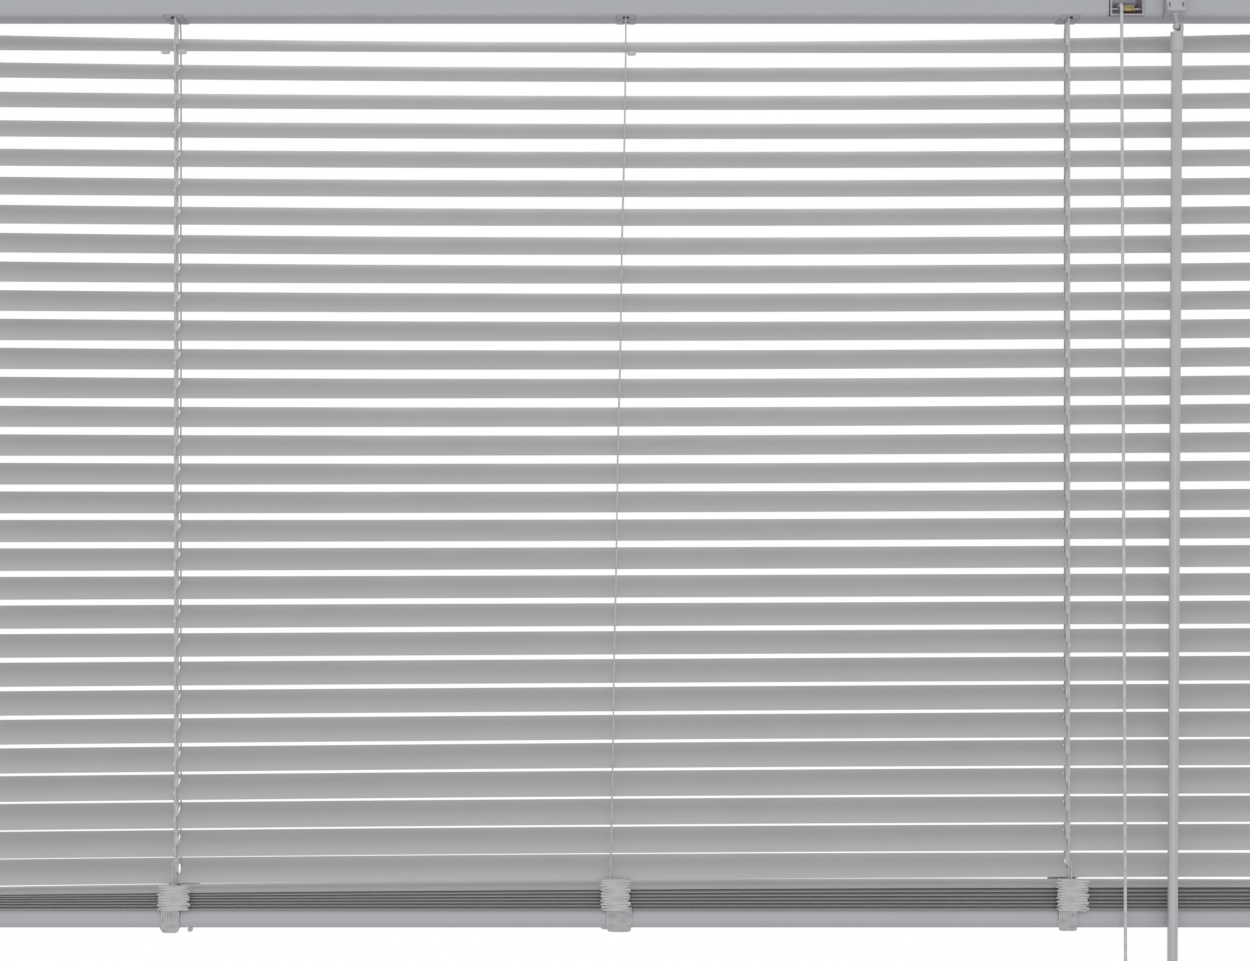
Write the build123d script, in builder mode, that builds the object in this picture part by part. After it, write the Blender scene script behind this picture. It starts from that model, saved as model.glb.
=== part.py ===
from build123d import *
import os
from math import cos, radians, sin, tan

# A venetian blind with horizontal slats, partly raised, in millimetres and degrees.
# X runs along the headrail, the room side is -Y, Z is up.
# The origin is on the ceiling plane, above the middle of the slats' tilt axes.

# General
cut_overrun = 1.0
fit_clearance = 0.3

# Slats: crowned aluminium strips, hung at a pitch, the last ones piled on the bottom rail
slat_shortfall = 10.0
slat_width = 25.0
slat_crown = 1.8
slat_thickness = 0.22
slat_pitch = 21.5
slat_count = 30
first_slat_drop = 17.0
rest_tilt = 39.0
route_length = 12.0
route_width = 3.6
pile_count = 7
pile_pitch = 2.35
pile_drop = 13.3

# Ladders and lift cords
ladder_gap = 19.1
middle_ladder_top_x = 3.0
middle_ladder_bottom_x = -6.5
cord_sides = 8
ladder_cord_radius = 0.5
ladder_tail = 1.5
ladder_flare = 0.55
lift_cord_radius = 0.9
lift_cord_spread = 2.5
lift_cord_tail = 6.0

# Slack ladder cord bunched at the pile
slack_width = 26.0
slack_depth = 4.0
slack_fold = 5.2
slack_fold_count = 4
slack_drop = 10.3

# Clips on the front edge of the top slat
clip_radius = 2.0
clip_depth = 0.9
clip_spread = 6.2
middle_clip_x = 7.5

# Headrail: roll-formed steel channel, open upwards between its lips
headrail_length = 1000.0
headrail_depth = 25.0
headrail_height = 25.0
headrail_wall = 0.6
headrail_lip = 5.0
headrail_corner = 5.0
end_plate = 2.0
end_plug = 7.0

# Ceiling brackets: folded clips that hook under the lips
bracket_inset = 60.0
bracket_width = 22.0
bracket_plate = 1.2
bracket_hook = 3.0
bracket_hole_radius = 2.25

# Tilt rod and the ladder drums on it
rod_flats = 5.0
rod_fit = 0.05
rod_rise = 0.5
rod_overhang = 12.0
drum_radius = 6.0
drum_width = 9.0
journal_radius = 4.0
journal_length = 3.5

# Cradles that carry the drums and guide the cords through the headrail floor
cradle_length = 20.0
cradle_floor = 1.5
cradle_wall = 2.0
cradle_cord_slot = 21.4
cradle_cord_slot_width = 4.0
cradle_nozzle_wall = 0.6
cradle_nozzle_shoulder = 5.2
cradle_nozzle_reach = 1.0
cradle_window_width = 9.0
cradle_window_height = 3.4

# Tilter: worm and wheel in a moulded housing, its stem leaning out to the room
tilter_inset = 86.5
tilter_width = 13.4
tilter_opening_gap = 0.4
tilter_opening_top = 3.5
tilter_notch = 3.5
tilter_slot_length = 4.5
tilter_slot_width = 1.6
tilter_slot_spread = 10.0
tilter_slot_height = 16.0
gear_teeth = 10
gear_root_radius = 6.3
gear_tip_radius = 8.6
gear_tooth_width = 3.0
gear_tooth_slope = 72.0
gear_width = 6.0
worm_distance = 12.0
worm_lean = 20.0
worm_radius = 3.1
worm_length = 11.0
stem_radius = 1.6
stem_length = 22.0
ball_radius = 3.0
ball_belt_share = 0.35
ball_end_share = 0.45
ball_reach = 28.6
housing_wall = 1.5

# Wand: a cap that snaps on the stem's ball, and a six-sided rod
wand_cap_radius = 4.85
wand_cap_length = 20.2
wand_cap_lip = 1.5
wand_cap_socket = 8.0
spigot_radius = 3.0
spigot_rim_radius = 3.5
spigot_rim_length = 1.6
wand_flats = 7.0
wand_end_height = -755.0
wand_tip_radius = 4.2
wand_tip_length = 14.0
wand_lean_share = 0.0049

# Cord lock: folded frame with a brass roller on trunnions
lock_gap = 15.7
lock_width = 25.0
lock_height = 18.0
lock_wall = 1.2
lock_front = 14.0
lock_rear = 7.4
lock_window_width = 26.3
lock_window_height = 18.6
lock_rod_hole = 8.0
lock_cord_slot = 8.0
lock_cord_slot_width = 2.6
roller_radius = 4.0
roller_length = 12.0
roller_front = 10.0
roller_travel = 2.0
trunnion_radius = 1.3

# Pull cord and tassel
pull_cord_radius = 1.0
pull_cord_start = 4.0
pull_cord_offset = 4.6
pull_cord_drift = 1.7
pull_cord_end_front = 20.0
pull_cord_end_height = -757.0
tassel_length = 42.0
tassel_top_radius = 2.8
tassel_radius = 6.0
tassel_bore_radius = 1.4
tassel_cavity_radius = 3.4
tassel_neck_length = 18.0
tassel_cord_length = 20.0

# Bottom rail: closed steel tube with rounded front and back
rail_depth = 24.0
rail_height = 16.2
rail_seat_drop = 0.76
rail_corner = 6.5
rail_wall = 0.6
rail_cord_hole = 4.0
rail_cap_plate = 1.8
rail_cap_plug = 8.0
button_radius = 8.0
button_height = 3.0
button_plug = 7.6
button_plug_length = 4.0

# Heights and places worked out from the sizes above
slat_length = headrail_length - slat_shortfall
bracket_x = headrail_length / 2 - bracket_inset
tilter_x = headrail_length / 2 - tilter_inset
lock_x = tilter_x - tilter_width / 2 - lock_gap - lock_width / 2
ladder_x = lock_x - lock_width / 2 - ladder_gap - cradle_length / 2
pull_cord_top_x = lock_x - pull_cord_offset
pull_cord_end_x = pull_cord_top_x + pull_cord_drift
headrail_top = -bracket_plate
headrail_middle = headrail_top - headrail_height / 2
headrail_bottom = headrail_top - headrail_height
headrail_floor = headrail_bottom + headrail_wall
inner_depth = headrail_depth - 2 * headrail_wall
inner_corner = headrail_corner - headrail_wall
floor_depth = headrail_depth - 2 * headrail_corner
rod_height = headrail_middle + rod_rise
first_slat_height = headrail_bottom - first_slat_drop
last_slat_height = first_slat_height - (slat_count - 1) * slat_pitch
pile_top_height = last_slat_height - pile_drop
rail_top = pile_top_height - (pile_count - 1) * pile_pitch - rail_seat_drop
rail_middle = rail_top - rail_height / 2
rail_bottom = rail_top - rail_height
lift_run_height = headrail_floor + cradle_floor + 2 * lift_cord_radius
tilt_cos = cos(radians(rest_tilt))
tilt_sin = sin(radians(rest_tilt))
front_edge_y = -slat_width / 2 * tilt_cos + slat_crown * tilt_sin
front_edge_drop = slat_width / 2 * tilt_sin + slat_crown * tilt_cos
rear_edge_y = slat_width / 2 * tilt_cos + slat_crown * tilt_sin
rear_edge_rise = slat_width / 2 * tilt_sin - slat_crown * tilt_cos
lean_cos = cos(radians(worm_lean))
lean_sin = sin(radians(worm_lean))
ball_y = -worm_distance * lean_cos - ball_reach * lean_sin
ball_height = rod_height + worm_distance * lean_sin - ball_reach * lean_cos
pull_cord_top = headrail_floor + lock_wall + 2 * roller_radius + 2 * fit_clearance + pull_cord_radius
roller_height = headrail_floor + lock_wall + roller_radius + fit_clearance
pull_cord_front = roller_front + roller_radius + fit_clearance + pull_cord_radius

os.makedirs("parts", exist_ok=True)


def write(built, name):
    """Name a finished piece and write it as a STEP file of that name."""
    built.part.label = name
    export_step(built.part, f"parts/{name}.step")


def section_plane(x, height):
    """A plane across the blind: local x towards the back, local y up, facing +X."""
    return Plane(origin=(x, 0, height), x_dir=(0, 1, 0), z_dir=(1, 0, 0))


def bend_radii(points):
    """Radii of a cord's bends, each as large as its two runs allow."""
    share = 0.45
    radii = []
    for before, corner, after in zip(points, points[1:], points[2:]):
        run_in = Vector(*corner) - Vector(*before)
        run_out = Vector(*after) - Vector(*corner)
        half_turn = radians(run_in.get_angle(run_out) / 2)
        radii.append(share * min(run_in.length, run_out.length) / tan(half_turn))
    return radii


def write_cords(name, routes, cord_radius, radii=None):
    """Cords with a plain eight-sided section, one solid for each route, in one node."""
    with BuildPart() as cords:
        for points in routes:
            bends = radii or bend_radii(points)
            with BuildLine() as path:
                FilletPolyline(*points, radius=bends)
            with BuildSketch(Plane(origin=path.line @ 0, z_dir=path.line % 0)):
                RegularPolygon(cord_radius, cord_sides)
            sweep(path=path.line)
    write(cords, name)


def write_slat(name, tilt, height):
    """A crowned slat with its two route slots, turned about the middle of its crown."""
    across = (0, cos(radians(tilt)), sin(radians(tilt)))
    section = Plane(origin=(-slat_length / 2, 0, height), x_dir=across, z_dir=(1, 0, 0))
    half_width = slat_width / 2
    half_thickness = slat_thickness / 2
    with BuildPart() as slat:
        with BuildSketch(section):
            with BuildLine():
                top = ThreePointArc(
                    (-half_width, half_thickness - slat_crown),
                    (0, half_thickness),
                    (half_width, half_thickness - slat_crown),
                )
                under = ThreePointArc(
                    (-half_width, -half_thickness - slat_crown),
                    (0, -half_thickness),
                    (half_width, -half_thickness - slat_crown),
                )
                Line(top @ 0, under @ 0)
                Line(top @ 1, under @ 1)
            make_face()
        extrude(amount=slat_length)
        face_normal = section.y_dir
        for x in (-ladder_x, ladder_x):
            with BuildSketch(Plane(origin=(x, 0, height), x_dir=across, z_dir=face_normal)):
                Rectangle(route_length, route_width)
            extrude(amount=slat_crown + slat_thickness, both=True, mode=Mode.SUBTRACT)
    write(slat, name)


# Hanging slats, numbered from the top, and the pile on the bottom rail
for number in range(slat_count):
    write_slat(f"slat_{number + 1:02d}", rest_tilt, first_slat_height - number * slat_pitch)
for number in range(pile_count):
    write_slat(f"piled_slat_{number + 1}", 0, pile_top_height - number * pile_pitch)

# Clips on the top slat: rounded lugs under its front edge beside the ladders
clip_plane_height = first_slat_height - front_edge_drop - slat_thickness
with BuildPart() as slat_clips:
    for x in (-ladder_x - clip_spread, -ladder_x + clip_spread, middle_clip_x):
        lug_plane = Plane(origin=(x, front_edge_y, clip_plane_height), x_dir=(1, 0, 0), z_dir=(0, 1, 0))
        with BuildSketch(lug_plane):
            with Locations((0, clip_radius)):
                Circle(clip_radius)
        extrude(amount=clip_depth)
write(slat_clips, "slat_clips")

# Headrail: channel section with turned-in lips, floor slots and front openings
exit_length = cradle_cord_slot + 2 * cradle_nozzle_wall + rod_fit
nozzle_width = cradle_cord_slot_width + 2 * cradle_nozzle_shoulder
exit_width = nozzle_width + rod_fit
opening_width = tilter_width + 2 * tilter_opening_gap
front_plane = Plane.XZ.offset(headrail_depth / 2)
with BuildPart() as headrail:
    with BuildSketch(section_plane(-headrail_length / 2, headrail_middle)) as channel:
        Rectangle(headrail_depth, headrail_height)
        fillet(channel.vertices().group_by(Axis.Y)[0], headrail_corner)
        offset(amount=-headrail_wall, mode=Mode.SUBTRACT)
        with Locations((0, headrail_height / 2)):
            Rectangle(
                headrail_depth - 2 * headrail_lip,
                2 * (headrail_wall + cut_overrun),
                mode=Mode.SUBTRACT,
            )
    extrude(amount=headrail_length)
    with BuildSketch(Plane.XY.offset(headrail_bottom)):
        with Locations((-ladder_x, 0), (middle_ladder_top_x, 0), (ladder_x, 0)):
            Rectangle(exit_width, exit_length)
    extrude(amount=headrail_corner, both=True, mode=Mode.SUBTRACT)
    with BuildSketch(front_plane):
        with Locations((lock_x, headrail_floor + lock_window_height / 2)):
            Rectangle(lock_window_width, lock_window_height)
    extrude(amount=headrail_corner, both=True, mode=Mode.SUBTRACT)
    opening_top = -tilter_opening_top
    opening_bottom = headrail_bottom - cut_overrun
    with BuildSketch(front_plane.offset(cut_overrun)):
        with Locations((tilter_x, (opening_top + opening_bottom) / 2)):
            Rectangle(opening_width, opening_top - opening_bottom)
    extrude(amount=-(tilter_notch + cut_overrun), mode=Mode.SUBTRACT)
write(headrail, "headrail")

# End caps: plates with a plug that fills the channel
with BuildPart() as headrail_end_caps:
    for side in (-1, 1):
        with BuildSketch(section_plane(side * headrail_length / 2, headrail_middle)) as plate:
            Rectangle(headrail_depth, headrail_height)
            fillet(plate.vertices().group_by(Axis.Y)[0], headrail_corner)
        extrude(amount=side * end_plate)
        with BuildSketch(section_plane(side * headrail_length / 2, headrail_middle)) as plug:
            Rectangle(inner_depth - fit_clearance, headrail_height - 2 * headrail_wall - fit_clearance)
            fillet(plug.vertices().group_by(Axis.Y)[0], inner_corner)
        extrude(amount=-side * end_plug)
write(headrail_end_caps, "headrail_end_caps")

# Ceiling brackets: a folded strip under the ceiling whose hooks carry the lips
web_y = headrail_depth / 2 - headrail_lip - fit_clearance
hook_top = headrail_top - headrail_wall
with BuildPart() as mounting_brackets:
    for side in (-1, 1):
        with BuildSketch(section_plane(side * bracket_x - bracket_width / 2, 0)):
            with BuildLine():
                Polyline(
                    (0, 0),
                    (web_y, 0),
                    (web_y, hook_top),
                    (web_y + bracket_hook, hook_top),
                    (web_y + bracket_hook, hook_top - bracket_plate),
                    (web_y - bracket_plate, hook_top - bracket_plate),
                    (web_y - bracket_plate, -bracket_plate),
                    (0, -bracket_plate),
                )
                mirror(about=Plane.YZ)
            make_face()
        extrude(amount=bracket_width)
    with Locations((-bracket_x, 0, 0), (bracket_x, 0, 0)):
        Hole(bracket_hole_radius, depth=bracket_plate)
write(mounting_brackets, "mounting_brackets")

# Tilt rod: six-sided steel bar from the far drum to the tilter
rod_start = -ladder_x - drum_width / 2 - journal_length - rod_overhang
rod_end = tilter_x + tilter_width / 2 + housing_wall
with BuildPart() as tilt_rod:
    with BuildSketch(section_plane(rod_start, rod_height)):
        RegularPolygon(rod_flats / 2, 6, major_radius=False)
    extrude(amount=rod_end - rod_start)
write(tilt_rod, "tilt_rod")

# Ladder drums: spools with journals, keyed on the rod
spool_length = drum_width + 2 * journal_length
with BuildPart() as ladder_drums:
    for x in (-ladder_x, middle_ladder_top_x, ladder_x):
        with BuildSketch(section_plane(x - spool_length / 2, rod_height)):
            Circle(journal_radius)
        extrude(amount=spool_length)
        with BuildSketch(section_plane(x - drum_width / 2, rod_height)):
            Circle(drum_radius)
        extrude(amount=drum_width)
    with BuildSketch(section_plane(rod_start, rod_height)):
        RegularPolygon(rod_flats / 2 + rod_fit, 6, major_radius=False)
    extrude(amount=rod_end - rod_start, mode=Mode.SUBTRACT)
write(ladder_drums, "ladder_drums")

# Drum cradles: floor plate with a nozzle through the headrail, and two saddles
saddle_base = headrail_floor + cradle_floor
saddle_height = rod_height - saddle_base
wall_start = drum_width / 2 + (journal_length - cradle_wall) / 2
with BuildPart() as drum_cradles:
    for x in (-ladder_x, middle_ladder_top_x, ladder_x):
        with BuildSketch(Plane(origin=(x, 0, headrail_floor))):
            Rectangle(cradle_length, floor_depth)
        extrude(amount=cradle_floor)
        with BuildSketch(Plane(origin=(x, 0, headrail_floor))):
            Rectangle(nozzle_width, cradle_cord_slot + 2 * cradle_nozzle_wall)
        extrude(amount=-(headrail_wall + cradle_nozzle_reach))
        with BuildSketch(Plane(origin=(x, 0, headrail_floor))):
            Rectangle(nozzle_width, cradle_cord_slot + 2 * cradle_nozzle_wall)
        extrude(amount=cradle_floor)
        for start in (wall_start, -wall_start - cradle_wall):
            with BuildSketch(section_plane(x + start, saddle_base)):
                with Locations((0, saddle_height / 2)):
                    Rectangle(floor_depth, saddle_height)
                with Locations((0, saddle_height)):
                    Circle(journal_radius + rod_fit, mode=Mode.SUBTRACT)
                with Locations((0, cradle_window_height / 2)):
                    Rectangle(cradle_window_width, cradle_window_height, mode=Mode.SUBTRACT)
            extrude(amount=cradle_wall)
        with BuildSketch(Plane(origin=(x, 0, headrail_floor))):
            Rectangle(cradle_cord_slot_width, cradle_cord_slot)
        extrude(amount=headrail_height / 2, both=True, mode=Mode.SUBTRACT)
write(drum_cradles, "drum_cradles")

# Tilter gear: ten-toothed wheel keyed on the rod
tooth_height = gear_tip_radius - gear_root_radius + cut_overrun
with BuildPart() as tilter_gear:
    with BuildSketch(section_plane(tilter_x - gear_width / 2, rod_height)):
        Circle(gear_root_radius)
        with PolarLocations(gear_tip_radius - tooth_height / 2, gear_teeth):
            Trapezoid(gear_tooth_width, tooth_height, gear_tooth_slope, rotation=-90)
        RegularPolygon(rod_flats / 2 + rod_fit, 6, major_radius=False, mode=Mode.SUBTRACT)
    extrude(amount=gear_width)
write(tilter_gear, "tilter_gear")

# Worm and stem: turned in one piece, with the ball for the wand at its lower end
ball_centre = (tilter_x, ball_y, ball_height)
stem_direction = (0, lean_sin, lean_cos)
stem_section = Plane(origin=ball_centre, x_dir=(1, 0, 0), z_dir=(0, -lean_cos, lean_sin))
ball_belt = ball_radius * ball_belt_share
ball_end = ball_radius * ball_end_share
worm_end = stem_length + worm_length - fit_clearance
with BuildPart() as tilter_worm:
    with BuildSketch(stem_section):
        with BuildLine():
            Polyline(
                (0, -ball_radius),
                (ball_end, -ball_radius),
                (ball_radius, -ball_belt),
                (ball_radius, ball_belt),
                (stem_radius, ball_radius),
                (stem_radius, stem_length),
                (worm_radius, stem_length),
                (worm_radius, worm_end),
                (0, worm_end),
                close=True,
            )
        make_face()
    revolve(axis=Axis(ball_centre, stem_direction))
write(tilter_worm, "tilter_worm")


def along_stem(reach, forward):
    """Local y and z of a point in the tilter: up the stem from the ball, then to the room."""
    y = ball_y + reach * lean_sin - forward * lean_cos
    z = ball_height + reach * lean_cos + forward * lean_sin
    return y, z


# Tilter housing: moulded block in the channel with a snout round the leaning worm
bore_radius = worm_radius + fit_clearance
snout = bore_radius + housing_wall
snout_reach = stem_length - worm_length
housing_top = opening_top - fit_clearance
front_top_reach = (housing_top - ball_height - snout * lean_sin) / lean_cos
roof = headrail_top - headrail_wall - fit_clearance
rear_y = gear_tip_radius + fit_clearance + housing_wall / 2
inside_y = -inner_depth / 2 + fit_clearance
with BuildPart() as tilter_housing:
    with BuildSketch(section_plane(tilter_x - tilter_width / 2, 0)):
        with BuildLine():
            Polyline(
                (floor_depth / 2, headrail_floor + fit_clearance),
                (rear_y, headrail_floor + inner_corner),
                (rear_y, roof),
                (inside_y, roof),
                (inside_y, housing_top),
                along_stem(front_top_reach, snout),
                along_stem(snout_reach, snout),
                along_stem(snout_reach, -snout),
                (inside_y, headrail_floor + fit_clearance),
                close=True,
            )
        make_face()
    extrude(amount=tilter_width)
    with BuildSketch(section_plane(tilter_x - gear_width / 2 - fit_clearance, rod_height)):
        Rectangle(2 * (gear_tip_radius + fit_clearance), 2 * (gear_tip_radius + fit_clearance))
    extrude(amount=gear_width + 2 * fit_clearance, mode=Mode.SUBTRACT)
    with BuildSketch(section_plane(tilter_x, rod_height)):
        Circle(rod_flats / 2 + housing_wall)
    extrude(amount=tilter_width, both=True, mode=Mode.SUBTRACT)
    with BuildSketch(Plane(origin=ball_centre, z_dir=stem_direction)):
        Circle(stem_radius + fit_clearance)
    extrude(amount=stem_length, mode=Mode.SUBTRACT)
    bore_y, bore_z = along_stem(stem_length - fit_clearance, 0)
    with BuildSketch(Plane(origin=(tilter_x, bore_y, bore_z), z_dir=stem_direction)):
        Rectangle(2 * bore_radius, 2 * bore_radius)
    extrude(amount=worm_length + fit_clearance, mode=Mode.SUBTRACT)
    slot_y, slot_z = along_stem(tilter_slot_height, snout)
    snout_normal = (0, -lean_cos, lean_sin)
    snout_face = Plane(origin=(tilter_x, slot_y, slot_z), x_dir=(1, 0, 0), z_dir=snout_normal)
    with BuildSketch(snout_face):
        with GridLocations(tilter_slot_spread, 0, 2, 1):
            Rectangle(tilter_slot_width, tilter_slot_length)
    extrude(amount=-housing_wall, mode=Mode.SUBTRACT)
write(tilter_housing, "tilter_housing")

# Wand cap: sleeve with a socket for the ball, slotted to the front so that it can swing
wand_direction = Vector(wand_lean_share, 0, 1).normalized()
wand_plane = Plane(origin=ball_centre, x_dir=(0, 1, 0), z_dir=wand_direction)
cap_bottom = wand_cap_lip - wand_cap_length
wand_top = cap_bottom + wand_cap_socket - fit_clearance
rim_bottom = wand_top - spigot_rim_length
socket_radius = ball_radius + fit_clearance
with BuildPart() as wand_cap:
    with BuildSketch(wand_plane.offset(cap_bottom)):
        Circle(wand_cap_radius)
    extrude(amount=wand_cap_length)
    with BuildSketch(wand_plane.offset(-socket_radius)):
        Circle(socket_radius)
    extrude(amount=socket_radius + wand_cap_lip, mode=Mode.SUBTRACT)
    with BuildSketch(wand_plane):
        with Locations((-wand_cap_radius, 0)):
            Rectangle(2 * wand_cap_radius, 2 * (stem_radius + fit_clearance))
    extrude(amount=wand_cap_radius, mode=Mode.SUBTRACT)
    with BuildSketch(wand_plane.offset(cap_bottom)):
        Circle(spigot_radius + rod_fit)
    extrude(amount=wand_cap_socket, mode=Mode.SUBTRACT)
    with BuildSketch(wand_plane.offset(rim_bottom - fit_clearance)):
        Circle(spigot_rim_radius + rod_fit)
    extrude(amount=spigot_rim_length + 2 * fit_clearance, mode=Mode.SUBTRACT)
write(wand_cap, "wand_cap")

# Wand: six-sided rod that turns in the cap on a round spigot with a rim, and has a bevelled tip
wand_shoulder = cap_bottom - fit_clearance
wand_end = wand_end_height - ball_height
with BuildPart() as wand:
    with BuildSketch(wand_plane.offset(wand_end)):
        RegularPolygon(wand_flats / 2, 6, major_radius=False)
    extrude(amount=wand_shoulder - wand_end)
    with BuildSketch(wand_plane.offset(wand_shoulder)):
        Circle(spigot_radius)
    extrude(amount=wand_top - wand_shoulder)
    with BuildSketch(wand_plane.offset(rim_bottom)):
        Circle(spigot_rim_radius)
    extrude(amount=spigot_rim_length)
    with BuildSketch(wand_plane.offset(wand_end)):
        Circle(wand_tip_radius)
    extrude(amount=wand_tip_length)
    chamfer(wand.edges().filter_by(GeomType.CIRCLE).sort_by(Axis.Z)[0], wand_tip_radius / 2)
write(wand, "wand")

# Cord lock: folded U-frame standing on the headrail floor behind its window
lock_depth = lock_front + lock_rear
roller_slot = roller_travel + 2 * (trunnion_radius + rod_fit)
lock_side = Plane(origin=(lock_x, 0, 0), x_dir=(0, 1, 0), z_dir=(1, 0, 0))
with BuildPart() as cord_lock:
    with BuildSketch(Plane.XZ.offset(-lock_rear)):
        with Locations((lock_x, headrail_floor + lock_height / 2)):
            Rectangle(lock_width, lock_height)
        with Locations((lock_x, headrail_floor + lock_wall + lock_height / 2)):
            Rectangle(lock_width - 2 * lock_wall, lock_height, mode=Mode.SUBTRACT)
    extrude(amount=lock_depth)
    with BuildSketch(lock_side):
        with Locations((-roller_front + roller_travel / 2, roller_height)):
            SlotOverall(roller_slot, 2 * (trunnion_radius + rod_fit))
        with Locations((0, rod_height)):
            Rectangle(lock_rod_hole, lock_rod_hole)
        with Locations((lift_cord_spread / 2, lift_run_height)):
            Rectangle(lock_cord_slot, lock_cord_slot_width)
    extrude(amount=lock_width, both=True, mode=Mode.SUBTRACT)
write(cord_lock, "cord_lock")

# Lock roller: brass barrel with a trunnion at each end
roller_plane = Plane(origin=(lock_x, -roller_front, roller_height), z_dir=(1, 0, 0))
trunnion_length = lock_width - 2 * fit_clearance
with BuildPart() as lock_roller:
    with BuildSketch(roller_plane):
        Circle(roller_radius)
    extrude(amount=roller_length / 2, both=True)
    with BuildSketch(roller_plane):
        Circle(trunnion_radius)
    extrude(amount=trunnion_length / 2, both=True)
write(lock_roller, "lock_roller")

# Lift cords: from the bottom rail up through the slats, then along the headrail to the lock
lift_end_x = lock_x - lock_width / 2 + 2 * lock_wall
lift_low = rail_top - lift_cord_tail
write_cords(
    "lift_cords",
    [
        [
            (-ladder_x, 0, lift_low),
            (-ladder_x, 0, lift_run_height),
            (lift_end_x, lift_cord_spread, lift_run_height),
        ],
        [
            (ladder_x, 0, lift_low),
            (ladder_x, 0, lift_run_height),
            (lift_end_x, 0, lift_run_height),
        ],
    ],
    lift_cord_radius,
    radii=[3 * lift_cord_radius],
)

# Pull cord: over the roller, then straight down to the tassel
pull_cord_points = [
    (pull_cord_top_x, -pull_cord_start, pull_cord_top),
    (pull_cord_top_x, -pull_cord_front, pull_cord_top),
    (pull_cord_end_x, -pull_cord_end_front, pull_cord_end_height),
]
write_cords(
    "pull_cord",
    [pull_cord_points],
    pull_cord_radius,
    radii=[roller_radius + fit_clearance + pull_cord_radius],
)

# Tassel: turned bell, its bore on the cord and its hollow open below
cord_direction = (Vector(*pull_cord_points[1]) - Vector(*pull_cord_points[2])).normalized()
tassel_plane = Plane(origin=pull_cord_points[2], x_dir=(0, 1, 0), z_dir=cord_direction)
tassel_top = tassel_cord_length
tassel_bottom = tassel_top - tassel_length
cavity_top = tassel_top - tassel_neck_length
tassel_side = tassel_plane.y_dir * -1
tassel_section = Plane(origin=tassel_plane.origin, x_dir=tassel_plane.x_dir, z_dir=tassel_side)
with BuildPart() as tassel:
    with BuildSketch(tassel_section):
        with BuildLine():
            Polyline(
                (tassel_top_radius, tassel_top),
                (tassel_radius, tassel_bottom),
                (tassel_cavity_radius, tassel_bottom),
                (tassel_cavity_radius, cavity_top),
                (tassel_bore_radius, cavity_top),
                (tassel_bore_radius, tassel_top),
                close=True,
            )
        make_face()
    revolve(axis=Axis(tassel_plane.origin, cord_direction))
write(tassel, "tassel")

# Ladder cords: the front and the back strings of the three ladders
cord_offset = fit_clearance + ladder_cord_radius
drum_side = drum_radius + fit_clearance + ladder_cord_radius
front_route = []
rear_route = []
for top_x, bottom_x in (
    (-ladder_x, -ladder_x),
    (middle_ladder_top_x, middle_ladder_bottom_x),
    (ladder_x, ladder_x),
):
    front_route.append(
        [
            (bottom_x, front_edge_y - cord_offset, last_slat_height - front_edge_drop - ladder_tail),
            (top_x, front_edge_y - cord_offset - ladder_flare, first_slat_height - front_edge_drop),
            (top_x, -drum_side, rod_height),
        ]
    )
    rear_route.append(
        [
            (bottom_x, rear_edge_y + cord_offset, last_slat_height + rear_edge_rise - ladder_tail),
            (top_x, rear_edge_y + cord_offset + ladder_flare, first_slat_height + rear_edge_rise),
            (top_x, drum_side, rod_height),
        ]
    )
write_cords("front_ladder_cords", front_route, ladder_cord_radius)
write_cords("rear_ladder_cords", rear_route, ladder_cord_radius)

# Slack of the ladder strings, folded to and fro in front of and behind the pile
slack_y = slat_width / 2 + fit_clearance
slack_pitch = slack_fold - fit_clearance
slack_top = last_slat_height - slack_drop
with BuildPart() as ladder_slack:
    for x in (-ladder_x, middle_ladder_bottom_x, ladder_x):
        for side in (-1, 1):
            bunch_origin = (x, side * slack_y, slack_top)
            with BuildSketch(Plane(origin=bunch_origin, x_dir=(1, 0, 0), z_dir=(0, side, 0))):
                for fold in range(slack_fold_count):
                    middle = side * (fold * slack_pitch + slack_fold / 2)
                    Polygon(
                        (-slack_width / 2, middle),
                        (slack_fold - slack_width / 2, middle - slack_fold / 2),
                        (slack_width / 2 - slack_fold, middle - slack_fold / 2),
                        (slack_width / 2, middle),
                        (slack_width / 2 - slack_fold, middle + slack_fold / 2),
                        (slack_fold - slack_width / 2, middle + slack_fold / 2),
                        align=None,
                    )
            extrude(amount=slack_depth)
write(ladder_slack, "ladder_slack")

# Bottom rail: rounded tube with cord holes above and button holes below
with BuildPart() as bottom_rail:
    with BuildSketch(section_plane(-slat_length / 2, rail_middle)):
        RectangleRounded(rail_depth, rail_height, rail_corner)
        RectangleRounded(
            rail_depth - 2 * rail_wall,
            rail_height - 2 * rail_wall,
            rail_corner - rail_wall,
            mode=Mode.SUBTRACT,
        )
    extrude(amount=slat_length)
    with BuildSketch(Plane.XY.offset(rail_middle)):
        with Locations((-ladder_x, 0), (ladder_x, 0)):
            Rectangle(rail_cord_hole, rail_cord_hole)
    extrude(amount=rail_height, mode=Mode.SUBTRACT)
    with BuildSketch(Plane.XY.offset(rail_middle)):
        with Locations((-ladder_x, 0), (middle_ladder_bottom_x, 0), (ladder_x, 0)):
            Rectangle(button_plug + fit_clearance, button_plug + fit_clearance)
    extrude(amount=-rail_height, mode=Mode.SUBTRACT)
write(bottom_rail, "bottom_rail")

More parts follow.
